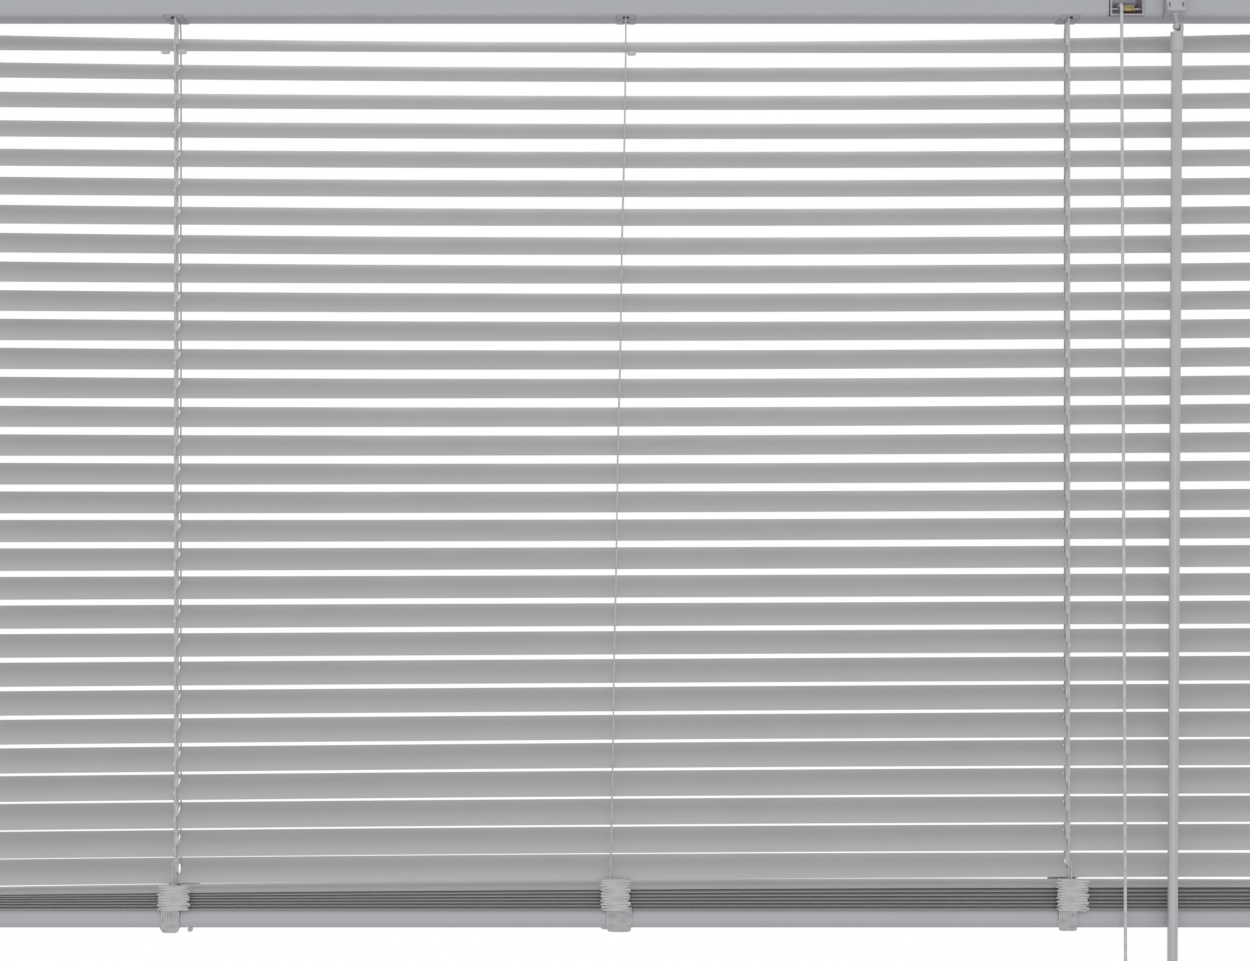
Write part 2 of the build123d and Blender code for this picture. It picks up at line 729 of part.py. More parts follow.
# Bottom rail end caps
with BuildPart() as bottom_rail_end_caps:
    for side in (-1, 1):
        with BuildSketch(section_plane(side * slat_length / 2, rail_middle)):
            RectangleRounded(rail_depth, rail_height, rail_corner)
        extrude(amount=side * rail_cap_plate)
        with BuildSketch(section_plane(side * slat_length / 2, rail_middle)):
            RectangleRounded(
                rail_depth - 2 * rail_wall - fit_clearance,
                rail_height - 2 * rail_wall - fit_clearance,
                rail_corner - rail_wall - fit_clearance / 2,
            )
        extrude(amount=-side * rail_cap_plug)
write(bottom_rail_end_caps, "bottom_rail_end_caps")

# Ladder buttons: plugs pressed in from below, over the ladder ends
with BuildPart() as ladder_buttons:
    for x in (-ladder_x, middle_ladder_bottom_x, ladder_x):
        with BuildSketch(Plane(origin=(x, 0, rail_bottom))):
            Circle(button_radius)
        extrude(amount=-button_height)
        with BuildSketch(Plane(origin=(x, 0, rail_bottom))):
            Rectangle(button_plug, button_plug)
        extrude(amount=button_plug_length)
write(ladder_buttons, "ladder_buttons")
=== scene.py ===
import math

import bmesh
import bpy
from mathutils import Matrix, Vector


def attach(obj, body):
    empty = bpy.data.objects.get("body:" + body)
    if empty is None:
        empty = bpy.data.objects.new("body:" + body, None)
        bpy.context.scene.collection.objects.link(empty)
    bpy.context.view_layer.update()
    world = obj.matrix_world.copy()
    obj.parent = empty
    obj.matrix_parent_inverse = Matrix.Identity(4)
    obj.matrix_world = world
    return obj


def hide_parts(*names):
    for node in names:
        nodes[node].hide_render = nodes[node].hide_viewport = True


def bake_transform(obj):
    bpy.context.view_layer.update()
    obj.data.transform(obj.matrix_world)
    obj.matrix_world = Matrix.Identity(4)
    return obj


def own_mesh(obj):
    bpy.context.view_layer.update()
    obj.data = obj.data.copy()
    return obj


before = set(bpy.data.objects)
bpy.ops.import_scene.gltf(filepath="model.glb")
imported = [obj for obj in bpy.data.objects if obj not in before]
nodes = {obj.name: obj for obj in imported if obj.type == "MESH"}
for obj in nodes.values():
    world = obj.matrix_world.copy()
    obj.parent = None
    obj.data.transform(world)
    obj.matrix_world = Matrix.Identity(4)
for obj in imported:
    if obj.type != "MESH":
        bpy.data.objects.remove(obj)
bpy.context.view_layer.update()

# Sizes repeated from the part's source, in metres
MM = 0.001
SLAT_LENGTH = 990 * MM
SLAT_WIDTH = 25 * MM
SLAT_CROWN = 1.8 * MM
SLAT_THICKNESS = 0.22 * MM
SLAT_COUNT = 30
SLAT_PITCH = 21.5 * MM
FIRST_SLAT = -43.2 * MM
LAST_SLAT = FIRST_SLAT - (SLAT_COUNT - 1) * SLAT_PITCH
REST_TILT = math.radians(39)
PILE_COUNT = 7
PILE_PITCH = 2.35 * MM
PILE_TOP = LAST_SLAT - 13.3 * MM
LADDER_X = 337 * MM
ROD_HEIGHT = -13.2 * MM
RAIL_TOP = PILE_TOP - (PILE_COUNT - 1) * PILE_PITCH - 0.76 * MM
RAIL_BOTTOM = RAIL_TOP - 16.2 * MM
LOWERING = 142.25 * MM

# Sizes that only the scene has, in metres
# Half of the length over which the slats' sag was measured
SAG_REACH = 463 * MM
# Where the leaning middle ladder starts and ends
MIDDLE_TOP_X = 2.9 * MM
MIDDLE_BOTTOM_X = -8.8 * MM
# How far from the tilt rod's axis the ladder strings leave the drums
STRING_REACH = 6.8 * MM
# Height of the lift cords' run inside the headrail, and where it ends at the lock
LIFT_RUN = -22.3 * MM
LIFT_END_X = 368.5 * MM
FLOOR_HEIGHT = -0.95

# Cords: their radii, and how they lie
CORD_RADIUS = 1.2 * MM
SPARE_RADIUS = 0.7 * MM
SLACK_RADIUS = 0.7 * MM
LOOSE_RADIUS = 0.5 * MM
END_RADIUS = 0.68 * MM
RUNG_RADIUS = 0.3 * MM
RUNG_DROP = 0.45 * MM
STRING_GAP = 0.8 * MM
FOLD_PITCH = 1.0 * MM
FOLD_SCATTER = 1.3 * MM
# Spacing of the string ends side by side on the rail, in mm
END_SPACING = 1.25


# Materials

def linear(hex_code):
    """An sRGB hex colour as linear RGBA."""
    shares = [int(hex_code[i:i + 2], 16) / 255 for i in (1, 3, 5)]
    return [c / 12.92 if c <= 0.04045 else ((c + 0.055) / 1.055) ** 2.4 for c in shares] + [1]


def add(tree, kind, inputs=None, **settings):
    """Adds a node with its settings, and gives its sockets values or links."""
    node = tree.nodes.new(kind)
    for key, value in settings.items():
        setattr(node, key, value)
    for key, value in (inputs or {}).items():
        if isinstance(value, bpy.types.NodeSocket):
            tree.links.new(value, node.inputs[key])
        else:
            node.inputs[key].default_value = value
    return node


def finish_named(name, metallic, roughness, ior=1.5, coat=0.0):
    """A new material with its shader's plain values set."""
    material = bpy.data.materials.new(name)
    material.use_nodes = True
    shader = material.node_tree.nodes["Principled BSDF"]
    shader.inputs["Metallic"].default_value = metallic
    shader.inputs["Roughness"].default_value = roughness
    shader.inputs["IOR"].default_value = ior
    shader.inputs["Coat Weight"].default_value = coat
    return material, material.node_tree, shader


def colour_between(tree, shader, factor, low, high):
    """Lets a pattern mix the shader's base colour from two hex colours."""
    tone = add(
        tree, "ShaderNodeMix",
        {"Factor": factor, "A": linear(low), "B": linear(high)},
        data_type="RGBA",
    )
    tree.links.new(tone.outputs["Result"], shader.inputs["Base Color"])


def raise_grain(tree, shader, height, strength, distance):
    """Lets a pattern press a fine relief into the surface."""
    bump = add(tree, "ShaderNodeBump", {"Height": height, "Strength": strength, "Distance": distance})
    tree.links.new(bump.outputs["Normal"], shader.inputs["Normal"])


def coil_coated_enamel(name, light, dark, roughness):
    """Roller-coated enamel on strip metal: faint lines along the strip, a satin skin and soft dust."""
    material, tree, shader = finish_named(name, 0.0, roughness, 1.5)
    place = add(tree, "ShaderNodeTexCoord")
    # The coating rolls leave lines about 3 mm apart across the strip and half a metre long
    spot = place.outputs["Object"]
    stretch = add(tree, "ShaderNodeMapping", {"Vector": spot, "Scale": (2.0, 330.0, 330.0)})
    lines = add(
        tree, "ShaderNodeTexNoise",
        {"Vector": stretch.outputs["Vector"], "Scale": 1.0, "Detail": 3.0},
    )
    dust = add(tree, "ShaderNodeTexNoise", {"Vector": spot, "Scale": 14.0, "Detail": 4.0})
    blend = add(
        tree, "ShaderNodeMath",
        {0: lines.outputs["Fac"], 1: dust.outputs["Fac"]},
        operation="MULTIPLY",
    )
    colour_between(tree, shader, blend.outputs["Value"], light, dark)
    satin = add(
        tree, "ShaderNodeMapRange",
        {"Value": dust.outputs["Fac"], "To Min": roughness - 0.06, "To Max": roughness + 0.1},
    )
    tree.links.new(satin.outputs["Result"], shader.inputs["Roughness"])
    # Orange peel of the dried enamel, about 1.5 mm across
    peel = add(tree, "ShaderNodeTexNoise", {"Vector": spot, "Scale": 650.0, "Detail": 2.0})
    raise_grain(tree, shader, peel.outputs["Fac"], 0.06, 0.0002)
    return material


def moulded_plastic(name, light, dark, roughness, gloss=0.0):
    """Injection-moulded plastic: a fine spark-eroded grain and slight clouding of the pigment."""
    material, tree, shader = finish_named(name, 0.0, roughness, 1.49, gloss)
    place = add(tree, "ShaderNodeTexCoord")
    spot = place.outputs["Object"]
    cloud = add(tree, "ShaderNodeTexNoise", {"Vector": spot, "Scale": 90.0, "Detail": 3.0})
    colour_between(tree, shader, cloud.outputs["Fac"], light, dark)
    # The mould's grain is about 0.4 mm, drawn as it is
    grain = add(tree, "ShaderNodeTexNoise", {"Vector": spot, "Scale": 2500.0, "Detail": 2.0})
    raise_grain(tree, shader, grain.outputs["Fac"], 0.12, 0.0001)
    return material


def braided_cord(name, light, dark, pitch):
    """Braided polyester: strands that cross at a steep slant, matt, with soft dark furrows."""
    material, tree, shader = finish_named(name, 0.0, 0.85, 1.46)
    shader.inputs["Sheen Weight"].default_value = 0.25
    place = add(tree, "ShaderNodeTexCoord")
    turns = 1.0 / pitch
    slants = []
    for slant in (0.5, -0.5):
        lean = add(
            tree, "ShaderNodeMapping",
            {"Vector": place.outputs["Object"], "Rotation": (0.0, slant, slant)},
        )
        slants.append(add(
            tree, "ShaderNodeTexWave",
            {"Vector": lean.outputs["Vector"], "Scale": turns / 20.0, "Distortion": 0.4},
            bands_direction="Z",
        ))
    weave = add(
        tree, "ShaderNodeMath",
        {0: slants[0].outputs["Fac"], 1: slants[1].outputs["Fac"]},
        operation="MAXIMUM",
    )
    colour_between(tree, shader, weave.outputs["Value"], dark, light)
    raise_grain(tree, shader, weave.outputs["Value"], 0.5, 0.0002)
    return material


def plated_metal(name, light, dark, roughness, stroke):
    """Bare or plated metal: fine rolling or turning marks that vary the gloss."""
    material, tree, shader = finish_named(name, 1.0, roughness)
    place = add(tree, "ShaderNodeTexCoord")
    marks = add(tree, "ShaderNodeMapping", {"Vector": place.outputs["Object"], "Scale": stroke})
    streaks = add(
        tree, "ShaderNodeTexNoise",
        {"Vector": marks.outputs["Vector"], "Scale": 1.0, "Detail": 4.0},
    )
    colour_between(tree, shader, streaks.outputs["Fac"], light, dark)
    gloss = add(
        tree, "ShaderNodeMapRange",
        {"Value": streaks.outputs["Fac"], "To Min": roughness - 0.08, "To Max": roughness + 0.14},
    )
    tree.links.new(gloss.outputs["Result"], shader.inputs["Roughness"])
    return material


# The slats and the rails share one grey enamel. The slats' copy is painted lighter to make up for the shade
# between them, and the rails' copy is painted darker for their brightly lit fronts. This is painted light.
slat_enamel_lightened_for_shade = coil_coated_enamel("satin_enamel_on_aluminium_lightened_for_shade", "#AFB0B1", "#A8A9AA", 0.52)
rail_enamel_darkened_for_light = coil_coated_enamel("satin_enamel_on_steel_darkened_for_light", "#A4A5A9", "#9FA0A4", 0.5)
grey_moulding = moulded_plastic("grey_abs_moulding", "#AFB0B2", "#A4A6A8", 0.5)
milky_moulding = moulded_plastic("milky_nylon_moulding", "#B0B0B4", "#9E9EA2", 0.36, 0.2)
cradle_moulding = moulded_plastic("grey_acetal_moulding", "#97989B", "#8E8F92", 0.5)
wand_moulding = moulded_plastic("grey_acrylic_wand", "#ACADAF", "#A0A2A4", 0.3, 0.35)
cord_braid = braided_cord("braided_polyester_cord", "#BBBCBD", "#ACADAE", 1.6 * MM)
# The lift cords are the same cord as the pull cord. This copy is painted lighter to make up for the shade
# that the slats cast on them, so it is painted light.
lift_cord_braid_lightened_for_shade = braided_cord("braided_polyester_lift_cord_lightened_for_shade", "#CBCCCD", "#BDBEBF", 1.6 * MM)
ladder_braid = braided_cord("braided_polyester_ladder", "#B2B3B4", "#A4A5A6", 1.2 * MM)
slack_braid = braided_cord("braided_polyester_slack", "#B6B8B6", "#ACAEAC", 1.6 * MM)
zinc_plate = plated_metal("zinc_plated_steel", "#B0A9B2", "#968F99", 0.5, (900.0, 60.0, 60.0))
turned_brass = plated_metal("turned_brass", "#A3976A", "#776C49", 0.36, (1500.0, 40.0, 40.0))


# Modelling helpers

def start_edit(obj):
    """Selects one object and opens it in edit mode with everything selected."""
    bpy.ops.object.select_all(action="DESELECT")
    obj.select_set(True)
    bpy.context.view_layer.objects.active = obj
    bpy.ops.object.mode_set(mode="EDIT")
    bpy.ops.mesh.select_all(action="SELECT")


def pick(obj, kind, test):
    """In edit mode, selects the vertices or edges whose middle passes the test."""
    bpy.ops.mesh.select_mode(type=kind)
    bpy.ops.mesh.select_all(action="DESELECT")
    shape = bmesh.from_edit_mesh(obj.data)
    for item in {"VERT": shape.verts, "EDGE": shape.edges}[kind]:
        corners = [item] if kind == "VERT" else list(item.verts)
        if test(sum((v.co for v in corners), Vector()) / len(corners)):
            item.select_set(True)
    shape.select_flush_mode()
    bmesh.update_edit_mesh(obj.data)


def end_edit():
    """Closes edit mode with all faces pointing outwards."""
    bpy.ops.mesh.select_all(action="SELECT")
    bpy.ops.mesh.remove_doubles(threshold=0.000001)
    bpy.ops.mesh.normals_make_consistent(inside=False)
    bpy.ops.object.mode_set(mode="OBJECT")


def apply_modifier(obj, kind, **settings):
    """Adds a modifier to one object and applies it."""
    bpy.ops.object.select_all(action="DESELECT")
    obj.select_set(True)
    bpy.context.view_layer.objects.active = obj
    modifier = obj.modifiers.new(kind.lower(), kind)
    for key, value in settings.items():
        setattr(modifier, key, value)
    bpy.ops.object.modifier_apply(modifier=modifier.name)


def join(parts, name):
    """Joins finished pieces into one object."""
    bpy.ops.object.select_all(action="DESELECT")
    for part in parts:
        part.select_set(True)
    bpy.context.view_layer.objects.active = parts[0]
    if len(parts) > 1:
        bpy.ops.object.join()
    parts[0].name = name
    parts[0].data.name = name
    return parts[0]


def place_mesh(obj, matrix):
    """Moves a piece by its mesh, so that its object stays at the origin."""
    obj.data.transform(matrix)
    obj.matrix_world = Matrix.Identity(4)
    return obj


def copy_piece(obj, name):
    """A copy with its own mesh."""
    made = bpy.data.objects.new(name, obj.data.copy())
    made.data.name = name
    bpy.context.scene.collection.objects.link(made)
    return made


def put_on(obj, body, material, slot, *stood_for, angle=35):
    """Smooths a piece, gives it its material and lets it move with a body."""
    bpy.ops.object.select_all(action="DESELECT")
    obj.select_set(True)
    bpy.context.view_layer.objects.active = obj
    bpy.ops.object.shade_smooth_by_angle(angle=math.radians(angle))
    obj.data.materials.clear()
    obj.data.materials.append(material)
    if body:
        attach(obj, body)
    if stood_for:
        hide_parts(*stood_for)
    return obj


def turned(name, sides, rings):
    """A piece drawn up ring by ring from a disc, as on a lathe; rings are (radius, height)."""
    radius, height = rings[0]
    bpy.ops.object.select_all(action="DESELECT")
    bpy.ops.mesh.primitive_circle_add(
        vertices=sides, radius=radius, fill_type="NGON", location=(0, 0, height)
    )
    obj = bpy.context.active_object
    bpy.ops.object.transform_apply(location=True, rotation=True, scale=True)
    start_edit(obj)
    for next_radius, next_height in rings[1:]:
        bpy.ops.mesh.extrude_region_move(TRANSFORM_OT_translate={"value": (0, 0, next_height - height)})
        share = next_radius / radius
        bpy.ops.transform.resize(value=(share, share, 1), center_override=(0, 0, next_height))
        radius, height = next_radius, next_height
    end_edit()
    obj.name = name
    obj.data.name = name
    return obj


def route_curve(name, points):
    """A smooth NURBS line with the route's points as its control points."""
    curve = bpy.data.curves.new(name, "CURVE")
    curve.dimensions = "3D"
    spline = curve.splines.new("NURBS")
    spline.points.add(len(points) - 1)
    for spot, point in zip(spline.points, points):
        spot.co = (*point, 1)
    spline.order_u = 3
    spline.use_endpoint_u = True
    spline.resolution_u = 8
    obj = bpy.data.objects.new(name, curve)
    bpy.context.scene.collection.objects.link(obj)
    return obj


def cord_tube(name, points, radius, sides=2, steps=8):
    """A round cord as a mesh along the route's NURBS line."""
    obj = route_curve(name, points)
    obj.data.splines[0].resolution_u = steps
    obj.data.bevel_depth = radius
    obj.data.bevel_resolution = sides
    obj.data.use_fill_caps = True
    bpy.ops.object.select_all(action="DESELECT")
    obj.select_set(True)
    bpy.context.view_layer.objects.active = obj
    bpy.ops.object.convert(target="MESH")
    return bpy.context.active_object


def block(middle, size):
    """A plain block to shape further, its middle and size in mm."""
    bpy.ops.object.select_all(action="DESELECT")
    bpy.ops.mesh.primitive_cube_add(size=1, location=[c * MM for c in middle])
    obj = bpy.context.active_object
    obj.scale = [c * MM for c in size]
    bpy.ops.object.transform_apply(location=True, rotation=True, scale=True)
    return obj


def cut_away(obj, cutters):
    """Takes pieces that stand apart from each other out of an object."""
    cutter = join(cutters, "cutter")
    apply_modifier(obj, "BOOLEAN", operation="DIFFERENCE", object=cutter, solver="EXACT")
    bpy.data.objects.remove(cutter)


# Slats: one strip is modelled flat, then copied, tilted and hung with the sag that the blind shows

CROWN_RADIUS = (SLAT_WIDTH ** 2 / 4 + SLAT_CROWN ** 2) / (2 * SLAT_CROWN)
CROWN_ARC = 2 * math.asin(SLAT_WIDTH / 2 / CROWN_RADIUS)


def model_strip(name, slots):
    """A straight strip: its front edge spun over the crown, then thickened and slotted.

    Slots are (x, width, length) in mm."""
    bpy.ops.object.select_all(action="DESELECT")
    bpy.ops.mesh.primitive_plane_add(size=1)
    strip = bpy.context.active_object
    start_edit(strip)
    bpy.ops.transform.resize(value=(SLAT_LENGTH, SLAT_WIDTH, 1))
    pick(strip, "VERT", lambda place: place.y > 0)
    bpy.ops.mesh.delete(type="VERT")
    bpy.ops.mesh.select_all(action="SELECT")
    bpy.ops.transform.translate(value=(0, 0, -SLAT_CROWN))
    bpy.ops.mesh.subdivide(number_cuts=27)
    bpy.ops.mesh.spin(steps=10, angle=CROWN_ARC, center=(0, 0, -CROWN_RADIUS), axis=(1, 0, 0))
    end_edit()
    apply_modifier(strip, "SOLIDIFY", thickness=SLAT_THICKNESS, offset=0.0)
    cutters = []
    for x, width, length in slots:
        cutter = block((x, 0, 0), (width, length, 8))
        start_edit(cutter)
        pick(cutter, "EDGE", lambda place: abs(place.z) < MM and abs(place.y) > length * 0.4 * MM)
        bpy.ops.mesh.bevel(offset=width * 0.48 * MM, segments=4)
        end_edit()
        cutters.append(cutter)
    cut_away(strip, cutters)
    strip.name = name
    return strip


def along(left, middle, right, x):
    """A quadratic through three heights at the left end, the middle and the right end."""
    t = x / SAG_REACH
    return middle + (right - left) / 2 * t + ((left + right) / 2 - middle) * t * t


# How some of the slats hang: their stand-off from the level in mm, and their turn off the common tilt in
# degrees, each at the left, the middle and the right. A slat in between hangs in between
SAGS = {
    1: ((2.1, -1.2, 1.3), (0.1, -7.5, 6.5)),
    2: ((3.0, -0.5, 1.2), (0.2, -1.2, -0.6)),
    3: ((2.2, -0.3, 1.2), (0.2, -2.7, 0.6)),
    5: ((1.4, -0.6, 1.0), (1.4, 0.2, 1.1)),
    8: ((1.1, -1.4, 0.6), (4.1, -0.4, 0.3)),
    11: ((-0.2, -1.5, 0.6), (5.7, 0.8, 0.5)),
    14: ((-1.5, -1.9, 0.6), (2.3, -1.7, -0.5)),
    17: ((-2.2, -1.8, 0.1), (1.6, -0.9, -0.9)),
    20: ((-2.8, -1.3, 0.3), (0.9, -0.5, -0.6)),
    23: ((-3.8, -0.9, 1.2), (0.9, 0.2, 2.1)),
    26: ((-4.6, -0.4, 2.0), (0.5, 0.5, 3.1)),
    29: ((-4.0, 0.1, 2.2), (1.5, 0.4, 0.0)),
    30: ((-3.1, 1.3, 2.9), (-1.5, -3.4, -6.5)),
}


def sag_of(number):
    """The stand-offs and turns of one slat."""
    low = max(key for key in SAGS if key <= number)
    high = min(key for key in SAGS if key >= number)
    share = 0 if high == low else (number - low) / (high - low)
    return [[a + (b - a) * share for a, b in zip(*pair)] for pair in zip(SAGS[low], SAGS[high])]


def hang(obj, height, tilt, offsets, turns):
    """Bends a flat strip along its sagging line, whose own tilt turns the strip about its crown."""
    half = SLAT_LENGTH / 2
    heights = [along(*offsets, x) * MM for x in (-half, 0, half)]
    angles = [tilt + math.radians(along(*turns, x)) for x in (-half, 0, half)]
    curve = bpy.data.curves.new("sag_line", "CURVE")
    curve.dimensions = "3D"
    curve.twist_mode = "Z_UP"
    spline = curve.splines.new("NURBS")
    spline.points.add(2)
    # The middle control point lies twice as far out as the line passes
    heights[1] = 2 * heights[1] - (heights[0] + heights[2]) / 2
    angles[1] = 2 * angles[1] - (angles[0] + angles[2]) / 2
    for spot, x, lift, angle in zip(spline.points, (0, half, 2 * half), heights, angles):
        spot.co = (x, 0, height + lift, 1)
        spot.tilt = angle
    spline.order_u = 3
    spline.use_endpoint_u = True
    spline.resolution_u = 32
    line = bpy.data.objects.new("sag_line", curve)
    line.location.x = -half
    bpy.context.scene.collection.objects.link(line)
    apply_modifier(obj, "CURVE", object=line, deform_axis="POS_X")
    bpy.data.objects.remove(line)
    return obj


def middle_x(number):
    """Where the middle ladder passes a slat: it leans to one side."""
    return MIDDLE_TOP_X + (MIDDLE_BOTTOM_X - MIDDLE_TOP_X) * (number - 1) / (SLAT_COUNT - 1)


def rungs_for(number, xs):
    """The rungs that carry one slat: a thread under the strip at each ladder."""
    rungs = []
    for x in xs:
        points = []
        for share in (-1.06, -0.99, -0.5, 0.0, 0.5, 0.99, 1.06):
            y = share * SLAT_WIDTH / 2
            z = -SLAT_CROWN * min(share * share, 1.0) - RUNG_DROP
            points.append((x, y, z))
        rungs.append(cord_tube(f"rung_{number}", points, RUNG_RADIUS, sides=1, steps=3))
    return join(rungs, f"ladder_rungs_{number:02d}")


# Slots for the lift cords: place, width and length in mm
STRIP_SLOTS = ((-337, 2.8, 16), (337, 2.8, 16))
LAST_STRIP_SLOTS = ((-336.3, 4.6, 10.5), (337, 2.8, 9))
strip = model_strip("strip_pattern", STRIP_SLOTS)
last_strip = model_strip("last_strip_pattern", LAST_STRIP_SLOTS)
for number in range(1, SLAT_COUNT + 1):
    body = f"slat_{number:02d}"
    height = FIRST_SLAT - (number - 1) * SLAT_PITCH
    pattern = last_strip if number == SLAT_COUNT else strip
    hung = hang(copy_piece(pattern, f"hung_strip_{number:02d}"), height, REST_TILT, *sag_of(number))
    put_on(hung, body, slat_enamel_lightened_for_shade, "grey_enamel_aluminium", body)
    rungs = rungs_for(number, (-LADDER_X, middle_x(number), LADDER_X))
    hang(rungs, height, REST_TILT, *sag_of(number))
    put_on(rungs, body, ladder_braid, "grey_cord", angle=60)

# The pile: strips that lie on each other, the upper ones more loosely and closest together at the left.
# The topmost one's stand-off in mm and turn in degrees, each at the left, the middle and the right
PILE_SAG = ((-3.0, 1.7, 2.6), (0, 4, 0))
for number in range(1, PILE_COUNT + 1):
    body = f"piled_slat_{number}"
    height = PILE_TOP - (number - 1) * PILE_PITCH
    loose = ((PILE_COUNT - number) / (PILE_COUNT - 1)) ** 1.7
    lying = copy_piece(strip, f"piled_strip_{number}")
    hang(lying, height, 0.0, *([value * loose for value in row] for row in PILE_SAG))
    put_on(lying, body, slat_enamel_lightened_for_shade, "grey_enamel_aluminium", body)
bpy.data.objects.remove(strip)
bpy.data.objects.remove(last_strip)

# Ladder strings: long runs that follow the slats' edges, and short upper ends that run to the drums

front_y = -SLAT_WIDTH / 2 * math.cos(REST_TILT) + SLAT_CROWN * math.sin(REST_TILT) - STRING_GAP
front_drop = SLAT_WIDTH / 2 * math.sin(REST_TILT) + SLAT_CROWN * math.cos(REST_TILT)
rear_y = SLAT_WIDTH / 2 * math.cos(REST_TILT) + SLAT_CROWN * math.sin(REST_TILT) + STRING_GAP
rear_rise = SLAT_WIDTH / 2 * math.sin(REST_TILT) - SLAT_CROWN * math.cos(REST_TILT)

# Each string: its place at the top and at the bottom, how far it wavers, and its radius in mm
LADDER_RUNS = {
    "front": (
        (-LADDER_X + MM, -LADDER_X + MM, 0.15, 0.85),
        (MIDDLE_TOP_X, MIDDLE_BOTTOM_X, 0.5, 0.55),
        (LADDER_X - 0.8 * MM, LADDER_X - 0.8 * MM, 0.15, 0.85),
    ),
    "rear": (
        (-LADDER_X, -LADDER_X, 0.15, 0.55),
        (MIDDLE_TOP_X, MIDDLE_BOTTOM_X, 0.5, 0.5),
        (LADDER_X + 1.4 * MM, LADDER_X + 1.4 * MM, 0.15, 0.85),
    ),
}
for side, y, edge, drum_y in (
    ("front", front_y, -front_drop, -STRING_REACH), ("rear", rear_y, rear_rise, STRING_REACH),
):
    runs = []
    tops = []
    for top_x, bottom_x, waver, thick in LADDER_RUNS[side]:
        high = FIRST_SLAT + edge
        low = LAST_SLAT + edge - 1.5 * MM
        points = []
        for step in range(9):
            share = step / 8
            sway = waver * MM * (0, 1, -0.6, 0.8, -1, 0.5, -0.7, 1, 0)[step]
            points.append((top_x + (bottom_x - top_x) * share + sway, y, high + (low - high) * share))
        runs.append(cord_tube(f"{side}_run", points, thick * MM, sides=2, steps=4))
        tops.append(cord_tube(
            f"{side}_top",
            [
                (top_x, drum_y, ROD_HEIGHT), (top_x, (drum_y * 3 + y * 7) / 10, -29 * MM),
                (top_x, y, high + 4 * MM), (top_x, y, high - MM),
            ],
            thick * MM, sides=2, steps=6,
        ))
    put_on(
        join(runs, f"{side}_ladder_strings"), f"{side}_ladder", ladder_braid, "grey_cord",
        f"{side}_ladder_cords", angle=60,
    )
    upper = put_on(join(tops, f"{side}_ladder_upper_ends"), None, ladder_braid, "grey_cord", angle=60)
    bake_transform(upper)

# Loose ladder string beside each piled slat, long enough to reach the slat above when the blind is let down
for number in range(1, PILE_COUNT + 1):
    edge = PILE_TOP - (number - 1) * PILE_PITCH - SLAT_CROWN
    loose = []
    for x in (-LADDER_X, MIDDLE_BOTTOM_X, LADDER_X):
        for side in (-1, 1):
            y = side * (12.95 + 0.1 * number) * MM
            bow = 0.25 * MM * (number % 3 - 1)
            loose.append(cord_tube(
                f"loose_{number}",
                [
                    (x, y, edge), (x + bow, y, edge + 7 * MM),
                    (x - bow, y, edge + 14 * MM), (x, y, edge + SLAT_PITCH),
                ],
                LOOSE_RADIUS, sides=1, steps=3,
            ))
    put_on(
        join(loose, f"loose_ladder_string_{number}"), f"piled_slat_{number}", ladder_braid, "grey_cord",
        angle=60,
    )

# Slack ladder string, folded to and fro in front of and behind the pile


def slack_points(x, y, top, reach, folds, seed):
    """A folded string: runs from side to side, each a little different, with round ends."""
    points = []
    for fold in range(folds):
        z = top - fold * FOLD_PITCH
        left = -reach - FOLD_SCATTER * math.sin(seed + fold * 2.3)
        right = reach + FOLD_SCATTER * math.cos(seed * 1.7 + fold * 1.9)
        begin, finish = (left, right) if fold % 2 == 0 else (right, left)
        wobble = 0.2 * MM * math.sin(seed * 3 + fold * 2.9)
        depth = 0.15 * MM * math.sin(seed * 5 + fold * 1.3)
        points.append((x + begin, y + depth, z + 0.3 * MM))
        points.append((x + begin * 0.3, y - depth, z + wobble))
        points.append((x + finish * 0.4, y + depth, z - wobble))
        points.append((x + finish, y - depth, z - 0.2 * MM))
        points.append((x + finish * 1.08, y, z - 0.6 * MM))
    return points


# Each bunch: where it sits, how far it reaches to the sides, how far its top lies under the last slat in mm,
# and its folds
for name, x, reach, under, folds in (
    ("left", -335.6 * MM, 10.2 * MM, 11.4, 18),
    ("middle", -4.8 * MM, 9.2 * MM, 6.6, 23),
    ("right", 337.6 * MM, 10.0 * MM, 6.6, 23),
):
    bunches = []
    for side in (-1, 1):
        for layer, depth in enumerate((14.3, 15.5)):
            seed = x * 31 + side * 1.7 + layer * 2.4
            top = LAST_SLAT - (under + 0.5 * layer + 0.8 * (side + 1)) * MM
            points = slack_points(x, side * depth * MM, top, reach, folds, seed)
            bunches.append(cord_tube(f"bunch_{name}", points, SLACK_RADIUS, sides=1, steps=4))
    bunch = put_on(
        join(bunches, f"{name}_slack_string"), "bottom_rail", slack_braid, "grey_cord",
        *(["ladder_slack"] if name == "left" else []), angle=60,
    )
    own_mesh(bunch)

# Ladder buttons under the rail: where each sits, how deep it hangs and its radius, in mm
BUTTONS = ((-342.2, 4.4, 8.0), (-2.2, 3.6, 9.6), (337.7, 2.8, 7.4))

